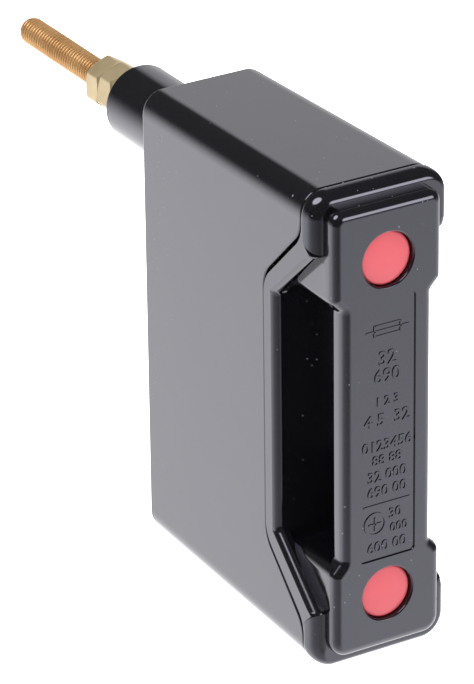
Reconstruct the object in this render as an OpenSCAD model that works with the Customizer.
// Pull-out fuse holder for a bolted-tag cartridge fuse link, with a rear stud terminal.
// Frame: +Z up, the carrier's grip faces -Y, the back face that meets the panel is y = 0,
// and x = z = 0 is the middle of that back face. Millimetres.

/* [Base] */
// Width of the base at its front edge
base_w = 30.6; // [29:0.1:33]
// Height of the base at its front edge
base_h = 102.7; // [101:0.1:108]
// Depth of the base at its top and bottom
base_d = 62.8; // [60:0.1:68]
// Depth of the base beside the finger recess
recess_d = 48.5; // [46:0.1:52]
// Half height of the straight edge of the finger recess
recess_z = 29.0; // [28:0.1:31]
// Half height at which the recess reaches the full depth
recess_end_z = 42.9; // [41:0.1:45]
// Draft of the side walls, each side, from front to back
draft_x = 0.88; // [0:0.01:1]
// Draft of the top and bottom walls, each side, from front to back
draft_z = 1.57; // [0:0.01:1.8]
// Radius of the long corners
corner_r = 5.0; // [3:0.1:6]
// Thickness of the back wall
back_t = 4.0; // [3:0.1:5]
// Half width of the cavity
cavity_x = 11.9; // [11.8:0.05:12.2]
// Half height of the cavity
cavity_z = 47.0; // [46.9:0.1:47.8]

/* [Rear boss and stud] */
// Height of the boss and stud above the middle
stud_z = 35.3; // [34:0.1:37]
// Radius of the boss
boss_r = 8.23; // [7.8:0.01:9]
// Length of the boss behind the back face
boss_l = 26.4; // [22:0.1:30]
// Radius of the M6 stud
stud_r = 3.0; // [3:0.05:3.1]
// How far the stud reaches behind the back face
stud_end = 74.5; // [60:0.5:90]
// Width across flats of an M6 nut
nut_af = 10.0; // [9.8:0.1:10.2]
// Thickness of an M6 nut
nut_t = 5.0; // [4.5:0.1:5.2]

/* [Carrier] */
// Front of the cap
cap_y = 66.9; // [66:0.1:68]
// Front of the grip plates
plate_y = 70.2; // [70:0.1:71]
// Front of the recess floor behind the grip
floor_y = 52.8; // [52:0.1:54]
// Foot of the two slopes that rise from the finger gap
foot_y = 56.3; // [55.5:0.1:57]
// Back of the grip bar
bar_back_y = 65.5; // [65:0.1:66.5]
// Half width of the grip bar
bar_x = 10.3; // [9.5:0.1:11]
// Half width of the grip plates
plate_x = 12.5; // [12:0.1:13]
// Half height of the outer edges of the plates
plate_z = 48.5; // [48:0.1:49]
// Half height of the finger gap
gap_z = 28.2; // [27.8:0.1:28.4]
// Gap between the carrier and the base
seam = 0.35; // [0.3:0.05:0.6]
// Distance from the middle to each fixing screw of the fuse link
fix_z = 36.5; // [36.5:0.1:36.6]
// Radius of the holes over the red plugs
spot_r = 5.8; // [5.4:0.1:6]

/* [Fuse link] */
// Outer radius of the ceramic barrel
barrel_r = 10.5; // [9.5:0.1:10.5]
// Half length of the ceramic barrel
barrel_z = 28.0; // [27:0.1:28]
// Distance of the barrel's axis in front of the back face
barrel_y = 36.2; // [35.8:0.1:36.2]

/* [Hidden] */
$fn = 64;
eps = 0.01;
cut = 100;

// base
base_hx = base_w / 2;
base_hz = base_h / 2;
panel_hole_r = 2.3;
panel_hole_z = 12;
panel_pad_r = 5.5;
panel_pad_t = 2.5;
rib_x0 = 6.1;
rib_x1 = 8.1;
rib_front = 12;
cable_hole_r = 4.5;
plug_hole_r = 4.2;
plug_t = 0.8;

// terminal blocks and jaws
block_x = 6;
block_front = 16;
upper_block = [29.5, 46.5];
lower_block = [22, 46.5];
tunnel_y = 10;
tunnel_r = 2.9;
tunnel_end = 25;
blade_t = 2.0;
blade_z0 = 41.5;
blade_z1 = blade_z0 + blade_t;
jaw_gap = 0.15;
jaw_t = 1.2;
jaw_x = 6;
jaw_mouth = 33;
jaw_flare = 1.4;
jaw_foot = [30.8, 31.5];
jaw_in = blade_z0 - jaw_gap;
jaw_out = blade_z1 + jaw_gap;
jaw_screw_z = [34, 35];
m4_r = 2.0;
m4_head_r = 3.5;
m4_head_t = 2.4;
clamp_z = 26.5;
clamp_r = 2.5;
clamp_head_r = 4.2;
clamp_head_t = 3.0;
rear_screw_z = 39;
ring_t = 0.8;
ring_x = 6.3;
ring_y0 = 24;
ring_y1 = 29;
ring_slit = 1.5;

// stud stack
washer_r = 6.0;
washer_t = 0.8;
nut_seat = 1.3;
recess_r = 6.3;
stud_root = 10;
stud_tip = 1.5;
nut_chamfer = 0.6;
clamp_nut_y = boss_l - nut_seat;
nuts_end = clamp_nut_y + 3 * nut_t;
stud_core_r = stud_r - 0.5;
nut_ac = nut_af / cos(30);

// carrier
cap_grow = 0.2;
cap_x = base_hx + cap_grow;
cap_z = base_hz + 0.15;
floor_diag_z = 28.1;
cap_diag_z = 38.7;
rear_diag_gap = 0.8;
spigot_x = 11.55;
spigot_in_x = 10.5;
spigot_z = 46.6;
spigot_in_z = 44.8;
spigot_back = 42;
spigot_mid_back = 47.5;
pocket_z0 = 29.8;
pocket_front = 64.5;
floor_t = 3.0;
floor_pocket_x = 11;
floor_pocket_z = 27;
seat_y = 50;
pillar_r = 6;
insert_r = 4;
insert_end = 61;
thread_r = 2.5;
plug_face_y = 69.2;
plug_back_y = 67.7;
stem_r = 3.2;
step_z0 = 27.3;
step_z1 = 29.7;
label_x = 6.35;
label_z = 28.4;
label_depth = 0.35;
relief_x = 8.5;
relief_depth = 0.45;

// fuse link and its contacts
contact_t = 2.0;
foot_x = 6;
foot_z0 = 30.3;
blade_x = 5.5;
blade_back = 21;
tag_x = 4.5;
tag_t = 1.2;
tag_end = 41;
link_cap_r = 10.9;
link_cap_t = 0.6;
link_cap_z0 = 20.6;
bore_r = 8.4;
filler_r = 8.35;
washer_h = 1.4;
link_head_r = 4.25;
link_head_t = 3.5;
link_screw_end = 58;
element_x = 3;
element_t = 0.3;
element_y = [-3, 3];
neck_r = 1.1;
neck_pitch = 9;

black = [0.03, 0.03, 0.035];
red = [0.85, 0.12, 0.15];
brass_col = [0.80, 0.62, 0.30];
stud_col = [0.78, 0.48, 0.22];
copper_col = [0.80, 0.62, 0.52];
steel_col = [0.68, 0.69, 0.70];
ceramic_col = [0.88, 0.86, 0.80];
sand_col = [0.78, 0.72, 0.60];

// ---- helpers ----

// A box from its low and high corner.
module span(lo, hi) {
    translate(lo) cube(hi - lo);
}

// A round bar along Y, from y0 to y1 (y0 < y1), about x = x, z = z.
module bar_y(r, y0, y1, z, x = 0) {
    translate([x, y1, z]) rotate([90, 0, 0]) cylinder(r = r, h = y1 - y0);
}

// A cone along Y: radius r0 at y0 and r1 at y1.
module cone_y(r0, r1, y0, y1, z) {
    translate([0, y1, z]) rotate([90, 0, 0]) cylinder(r1 = r1, r2 = r0, h = y1 - y0);
}

// A side outline of [y, z] points, extruded to +-half along X.
module side_profile(points, half) {
    translate([-half, 0, 0]) rotate([90, 0, 90]) linear_extrude(height = 2 * half) polygon(points);
}

// A rectangle with round corners, drawn about the middle.
module rounded_outline(hx, hz, r) {
    square([2 * (hx - r), 2 * hz], center = true);
    square([2 * hx, 2 * (hz - r)], center = true);
    for (sx = [-1, 1], sz = [-1, 1]) translate([sx * (hx - r), sz * (hz - r)]) circle(r = r);
}

// A block with round long corners, between y0 and y1.
module round_block(hx, hz, r, y0, y1) {
    translate([0, y1, 0]) rotate([90, 0, 0]) linear_extrude(height = y1 - y0) rounded_outline(hx, hz, r);
}

// What follows is kept above the middle, or mirrored below it.
module at_end(upper) {
    if (upper) children();
    else mirror([0, 0, 1]) children();
}

// ---- base ----

module base_outline() {
    back_scale = [1 - draft_x / base_hx, 1 - draft_z / base_hz];
    past = [base_d + 1, recess_end_z + (recess_end_z - recess_z) / (base_d - recess_d)];
    difference() {
        translate([0, -base_d, 0]) rotate([-90, 0, 0])
            linear_extrude(height = base_d, scale = back_scale, slices = 1)
                rounded_outline(base_hx, base_hz, corner_r);
        side_profile([
            [-recess_d, -recess_z], [-recess_d, recess_z],
            [-past[0], past[1]], [-past[0], -past[1]]
        ], cut);
    }
}

module base_moulding() {
    color(black) difference() {
        union() {
            difference() {
                union() {
                    base_outline();
                    bar_y(boss_r, -back_t, boss_l, stud_z);
                }
                span([-cavity_x, -cut, -cavity_z], [cavity_x, -back_t, cavity_z]);
            }
            for (s = [-1, 1]) bar_y(panel_pad_r, -back_t - panel_pad_t, -back_t + eps, s * panel_hole_z);
            for (sx = [-1, 1]) {
                ribs(sx, upper_block[0] + 1, upper_block[1] - 1);
                ribs(sx, -lower_block[1] + 1, -lower_block[0] - 1);
            }
        }
        bar_y(stud_r + 0.2, -back_t - 1, boss_l + 1, stud_z);
        bar_y(recess_r, clamp_nut_y - washer_t, boss_l + 1, stud_z);
        for (s = [-1, 1]) bar_y(panel_hole_r, -cut / 2, 1, s * panel_hole_z);
        translate([0, -tunnel_y, -cut / 2 - 10]) cylinder(r = cable_hole_r, h = cut / 2 + 10 - cavity_z + 1);
        bar_y(m4_r + 0.2, -back_t - 1, 1, -rear_screw_z);
        bar_y(plug_hole_r, -plug_t, 1, -rear_screw_z);
        cone_y(m4_r + 0.2, plug_hole_r, -3, -plug_t, -rear_screw_z);
    }
}

// A locating rib on one side of a terminal block.
module ribs(sx, z0, z1) {
    x0 = sx > 0 ? rib_x0 : -rib_x1;
    span([x0, -rib_front, z0], [x0 + rib_x1 - rib_x0, -back_t + eps, z1]);
}

module upper_terminal_block() {
    color(brass_col) difference() {
        span([-block_x, -block_front, upper_block[0]], [block_x, -back_t, upper_block[1]]);
        bar_y(stud_core_r, -stud_root - 1, 0, stud_z);
        bar_y(m4_r, -block_front - 1, -block_front + 4, jaw_screw_z[0]);
    }
}

module lower_terminal_block() {
    color(brass_col) difference() {
        span([-block_x, -block_front, -lower_block[1]], [block_x, -back_t, -lower_block[0]]);
        translate([0, -tunnel_y, -lower_block[1] - 1]) cylinder(r = tunnel_r, h = lower_block[1] + 1 - tunnel_end);
        bar_y(clamp_r, -block_front - 1, -tunnel_y, -clamp_z);
        bar_y(m4_r, -block_front - 1, -block_front + 3, -jaw_screw_z[1]);
        bar_y(m4_r, -tunnel_y + tunnel_r + 0.3, 0, -rear_screw_z);
    }
}

// A jaw: a U of two sprung leaves with flared mouths, and a foot on the block.
module jaw(foot_z, screw_z) {
    back = block_front + jaw_t;
    difference() {
        side_profile([
            [-block_front, foot_z], [-block_front, jaw_out + jaw_t],
            [-jaw_mouth + 2, jaw_out + jaw_t], [-jaw_mouth, jaw_out + jaw_t + jaw_flare],
            [-jaw_mouth, jaw_out + jaw_flare], [-jaw_mouth + 2, jaw_out],
            [-back, jaw_out], [-back, jaw_in],
            [-jaw_mouth + 2, jaw_in], [-jaw_mouth, jaw_in - jaw_flare],
            [-jaw_mouth, jaw_in - jaw_t - jaw_flare], [-jaw_mouth + 2, jaw_in - jaw_t],
            [-back, jaw_in - jaw_t], [-back, foot_z]
        ], jaw_x);
        bar_y(m4_r, -back - 1, -block_front + 1, screw_z);
    }
}

module upper_jaw_contact() {
    color(copper_col) jaw(jaw_foot[0], jaw_screw_z[0]);
}

module lower_jaw_contact() {
    color(copper_col) at_end(false) jaw(jaw_foot[1], jaw_screw_z[1]);
}

// Open rings of spring steel that press each jaw's leaves together.
module jaw_springs() {
    z0 = jaw_in - jaw_t;
    z1 = jaw_out + jaw_t;
    color(steel_col) for (up = [true, false]) at_end(up) difference() {
        span([-ring_x - ring_t, -ring_y1, z0 - ring_t], [ring_x + ring_t, -ring_y0, z1 + ring_t]);
        span([-ring_x, -ring_y1 - 1, z0], [ring_x, -ring_y0 + 1, z1]);
        span([ring_x - 1, -ring_y1 - 1, (z0 + z1 - ring_slit) / 2],
             [ring_x + 2, -ring_y0 + 1, (z0 + z1 + ring_slit) / 2]);
    }
}

// A cheese-head screw along Y: the head in front at y_seat, the shank behind it.
module front_screw(r, head_r, head_t, y_seat, depth, z, slot_w = 1.0) {
    difference() {
        union() {
            bar_y(head_r, -y_seat - head_t, -y_seat, z);
            bar_y(r, -y_seat - eps, -y_seat + depth, z);
        }
        span([-head_r - 1, -y_seat - head_t - 1, z - slot_w / 2],
             [head_r + 1, -y_seat - head_t + head_t * 0.45, z + slot_w / 2]);
    }
}

module jaw_screws() {
    seat = block_front + jaw_t;
    color(steel_col) {
        front_screw(m4_r, m4_head_r, m4_head_t, seat, jaw_t + 3.5, jaw_screw_z[0]);
        front_screw(m4_r, m4_head_r, m4_head_t, seat, jaw_t + 2.6, -jaw_screw_z[1]);
    }
}

module cable_clamp_screw() {
    seat = block_front + 1.2;
    color(steel_col) front_screw(clamp_r, clamp_head_r, clamp_head_t, seat,
                                 seat - tunnel_y - tunnel_r + 0.4, -clamp_z, 1.2);
}

// Countersunk screw that holds the lower block from behind.
module block_fixing_screw() {
    color(steel_col) difference() {
        union() {
            bar_y(m4_r, -tunnel_y + tunnel_r + 0.4, -3 + eps, -rear_screw_z);
            cone_y(m4_r, plug_hole_r - 0.3, -3, -plug_t - 0.1, -rear_screw_z);
        }
        span([-5, -plug_t - 1.0, -rear_screw_z - 0.5], [5, 0, -rear_screw_z + 0.5]);
    }
}

module sealing_plug() {
    color(sand_col) bar_y(plug_hole_r, -plug_t, -0.1, -rear_screw_z);
}

// ---- stud ----

module terminal_stud() {
    color(stud_col) {
        bar_y(stud_core_r, -stud_root, nuts_end, stud_z);
        bar_y(stud_r, nuts_end - eps, stud_end - stud_tip, stud_z);
        cone_y(stud_r, stud_r - 0.9, stud_end - stud_tip, stud_end, stud_z);
    }
}

module stud_washer() {
    color(brass_col) difference() {
        bar_y(washer_r, clamp_nut_y - washer_t, clamp_nut_y, stud_z);
        bar_y(stud_r + 0.2, 0, cut, stud_z);
    }
}

// An M6 nut whose near face is at y0, turned by turn degrees, with chamfered corners.
module hex_nut(y0, turn) {
    translate([0, y0 + nut_t, stud_z]) rotate([90, 0, 0]) difference() {
        intersection() {
            rotate([0, 0, turn]) cylinder(d = nut_ac, h = nut_t, $fn = 6);
            rotate_extrude() polygon([
                [0, 0], [nut_af / 2 - 0.1, 0], [nut_ac / 2 + 0.05, nut_chamfer],
                [nut_ac / 2 + 0.05, nut_t - nut_chamfer], [nut_af / 2 - 0.1, nut_t], [0, nut_t]
            ]);
        }
        translate([0, 0, -1]) cylinder(r = stud_core_r, h = nut_t + 2);
    }
}

module stud_clamp_nut() {
    color(brass_col) hex_nut(clamp_nut_y, 14);
}

module stud_nut_inner() {
    color(brass_col) hex_nut(clamp_nut_y + nut_t, 20);
}

module stud_nut_outer() {
    color(brass_col) hex_nut(clamp_nut_y + 2 * nut_t, 28);
}

// ---- carrier ----

// The rim follows the edge of the base, and its front steps back behind the grip.
module rim() {
    rear_y = base_d + seam;
    rear_mid_y = recess_d + seam;
    intersection() {
        side_profile([
            [-cap_y, cap_z], [-rear_y, cap_z], [-rear_y, recess_end_z - rear_diag_gap],
            [-rear_mid_y, recess_z - rear_diag_gap], [-rear_mid_y, -recess_z + rear_diag_gap],
            [-rear_y, -recess_end_z + rear_diag_gap], [-rear_y, -cap_z], [-cap_y, -cap_z],
            [-cap_y, -cap_diag_z], [-foot_y, -floor_diag_z],
            [-floor_y, -floor_diag_z], [-floor_y, floor_diag_z],
            [-foot_y, floor_diag_z], [-cap_y, cap_diag_z]
        ], cap_x);
        round_block(cap_x, cap_z, corner_r, -cap_y, 0);
    }
}

// A grip plate with cut corners beside the bar.
module plate() {
    translate([0, -bar_back_y, 0]) rotate([90, 0, 0]) linear_extrude(height = plate_y - bar_back_y) polygon([
        [-bar_x, 0], [bar_x, 0], [bar_x, step_z0], [plate_x, step_z1], [plate_x, plate_z],
        [-plate_x, plate_z], [-plate_x, step_z1], [-bar_x, step_z0]
    ]);
}

// The block that joins a plate to the cap, kept in front of the seam.
module grip_block() {
    slope = (recess_end_z - recess_z) / (base_d - recess_d);
    back_y = foot_y - eps;
    side_profile([
        [-cap_y, gap_z], [-back_y, gap_z],
        [-back_y, recess_z - rear_diag_gap + slope * (back_y - recess_d - seam)],
        [-base_d - seam, recess_end_z - rear_diag_gap],
        [-base_d - seam, cap_z - corner_r], [-cap_y, cap_z - corner_r]
    ], plate_x);
}

module carrier_moulding() {
    color(black) difference() {
        union() {
            difference() {
                union() {
                    rim();
                    for (up = [true, false]) at_end(up) {
                        plate();
                        grip_block();
                        span([-spigot_x, -base_d - seam, pocket_z0 - 1.3],
                             [spigot_x, -recess_d, spigot_z]);
                        for (sx = [-1, 1]) spigot_side(sx);
                        span([-spigot_x, -recess_d - eps, spigot_in_z], [spigot_x, -spigot_back, spigot_z]);
                    }
                    span([-spigot_x, -recess_d - seam - eps, -gap_z], [spigot_x, -spigot_mid_back, gap_z]);
                }
                for (up = [true, false]) at_end(up)
                    span([-spigot_in_x, -pocket_front, pocket_z0], [spigot_in_x, -spigot_back + 1, spigot_in_z]);
                span([-floor_pocket_x, -floor_y + floor_t, -floor_pocket_z],
                     [floor_pocket_x, -spigot_back, floor_pocket_z]);
                span([-link_cap_r - 0.3, -seat_y + 1, -floor_pocket_z - 5],
                     [link_cap_r + 0.3, -spigot_back + 1, floor_pocket_z + 5]);
            }
            for (up = [true, false]) at_end(up) bar_y(pillar_r, -pocket_front - eps, -seat_y, fix_z);
        }
        for (up = [true, false]) at_end(up) {
            bar_y(spot_r, -plate_y - 1, -plug_back_y, fix_z);
            bar_y(stem_r, -plug_back_y - eps, -insert_end + eps, fix_z);
            bar_y(insert_r, -insert_end, -seat_y + 1, fix_z);
        }
        span([-label_x, -plate_y - 1, -label_z], [label_x, -plate_y + label_depth, label_z]);
        span([-relief_x, -cap_y - 1, -cap_z - 1], [relief_x, -base_d, -cap_z + relief_depth]);
    }
}

// One side wall of the spigot that guides the carrier into the base.
module spigot_side(sx) {
    x0 = sx > 0 ? spigot_in_x : -spigot_x;
    span([x0, -recess_d - eps, pocket_z0 + 0.4], [x0 + spigot_x - spigot_in_x, -spigot_back, spigot_z]);
}

module red_plug(up) {
    color(red) at_end(up) {
        bar_y(spot_r, -plug_face_y, -plug_back_y, fix_z);
        bar_y(stem_r, -plug_back_y - eps, -insert_end, fix_z);
    }
}

module red_plug_upper() {
    red_plug(true);
}

module red_plug_lower() {
    red_plug(false);
}

// Threaded inserts in the carrier's pillars.
module contact_inserts() {
    color(brass_col) for (up = [true, false]) at_end(up) difference() {
        bar_y(insert_r, -insert_end, -seat_y, fix_z);
        bar_y(thread_r, -link_screw_end - 0.5, -seat_y + 1, fix_z);
    }
}

// A contact: a foot under the link's tag, bent back into the blade that enters the jaw.
module blade_contact(up) {
    foot_back = seat_y - contact_t;
    color(copper_col) at_end(up) difference() {
        union() {
            span([-foot_x, -seat_y, foot_z0], [foot_x, -foot_back, blade_z1]);
            side_profile([
                [-seat_y, blade_z0], [-seat_y, blade_z1], [-blade_back - 1.5, blade_z1],
                [-blade_back, blade_z1 - 0.6], [-blade_back, blade_z0 + 0.6],
                [-blade_back - 1.5, blade_z0]
            ], blade_x);
        }
        bar_y(thread_r + 0.2, -cut / 2 - 5, -foot_back + 1, fix_z);
    }
}

module upper_blade_contact() {
    blade_contact(true);
}

module lower_blade_contact() {
    blade_contact(false);
}

// Screws that clamp the link's tags, with hexagon sockets.
module link_screws() {
    seat = seat_y - contact_t - tag_t - washer_h;
    color(steel_col) for (up = [true, false]) at_end(up) difference() {
        union() {
            bar_y(link_head_r, -seat, -seat + link_head_t, fix_z);
            bar_y(thread_r, -link_screw_end, -seat + eps, fix_z);
        }
        translate([0, -seat + link_head_t + 1, fix_z]) rotate([90, 0, 0]) cylinder(r = 2.3, h = 3, $fn = 6);
    }
}

module link_spring_washers() {
    back = seat_y - contact_t - tag_t;
    color(steel_col) for (up = [true, false]) at_end(up) difference() {
        bar_y(link_head_r - 0.1, -back, -back + washer_h, fix_z);
        bar_y(thread_r, -back - 1, -back + washer_h + 1, fix_z);
        span([-0.4, -back - 1, fix_z], [0.4, -back + washer_h + 1, fix_z + link_head_r + 1]);
    }
}

// ---- fuse link ----

module fuse_barrel() {
    color(ceramic_col) translate([0, -barrel_y, -barrel_z]) difference() {
        cylinder(r = barrel_r, h = 2 * barrel_z);
        translate([0, 0, -1]) cylinder(r = bore_r, h = 2 * barrel_z + 2);
    }
}

// One silver strip with a row of round notches down both edges.
module element_strip(y) {
    difference() {
        span([-element_x, y - element_t / 2, -barrel_z], [element_x, y + element_t / 2, barrel_z]);
        for (i = [-2:2], sx = [-1, 1])
            translate([sx * element_x, y + 1, i * neck_pitch]) rotate([90, 0, 0]) cylinder(r = neck_r, h = 2);
    }
}

module fuse_elements() {
    color(steel_col) for (dy = element_y) element_strip(-barrel_y + dy);
}

// Quartz sand packed round the elements.
module fuse_filler() {
    color(sand_col) difference() {
        translate([0, -barrel_y, -barrel_z]) cylinder(r = filler_r, h = 2 * barrel_z);
        for (dy = element_y)
            span([-element_x, -barrel_y + dy - element_t / 2, -cut / 2],
                 [element_x, -barrel_y + dy + element_t / 2, cut / 2]);
    }
}

module end_cap(up) {
    color(brass_col) at_end(up) translate([0, -barrel_y, 0]) difference() {
        translate([0, 0, link_cap_z0]) cylinder(r = link_cap_r, h = barrel_z + link_cap_t - link_cap_z0);
        translate([0, 0, link_cap_z0 - 1]) cylinder(r = barrel_r, h = barrel_z + 1 - link_cap_z0);
    }
}

module end_cap_upper() {
    end_cap(true);
}

module end_cap_lower() {
    end_cap(false);
}

// An offset tag: a leg on the cap's end, bent out to the lug under the screw.
module fuse_tag(up) {
    z0 = barrel_z + link_cap_t;
    front = seat_y - contact_t;
    color(brass_col) at_end(up) difference() {
        side_profile([
            [-barrel_y + 4, z0], [-front, z0], [-front, tag_end], [-front + tag_t, tag_end],
            [-front + tag_t, z0 + tag_t], [-barrel_y + 4, z0 + tag_t]
        ], tag_x);
        bar_y(thread_r + 0.2, -cut / 2, -front + tag_t + 1, fix_z);
    }
}

module fuse_tag_upper() {
    fuse_tag(true);
}

module fuse_tag_lower() {
    fuse_tag(false);
}

base_moulding();
upper_terminal_block();
lower_terminal_block();
upper_jaw_contact();
lower_jaw_contact();
jaw_springs();
jaw_screws();
cable_clamp_screw();
block_fixing_screw();
sealing_plug();
terminal_stud();
stud_washer();
stud_clamp_nut();
stud_nut_inner();
stud_nut_outer();
carrier_moulding();
red_plug_upper();
red_plug_lower();
contact_inserts();
upper_blade_contact();
lower_blade_contact();
link_screws();
link_spring_washers();
fuse_barrel();
fuse_filler();
fuse_elements();
end_cap_upper();
end_cap_lower();
fuse_tag_upper();
fuse_tag_lower();
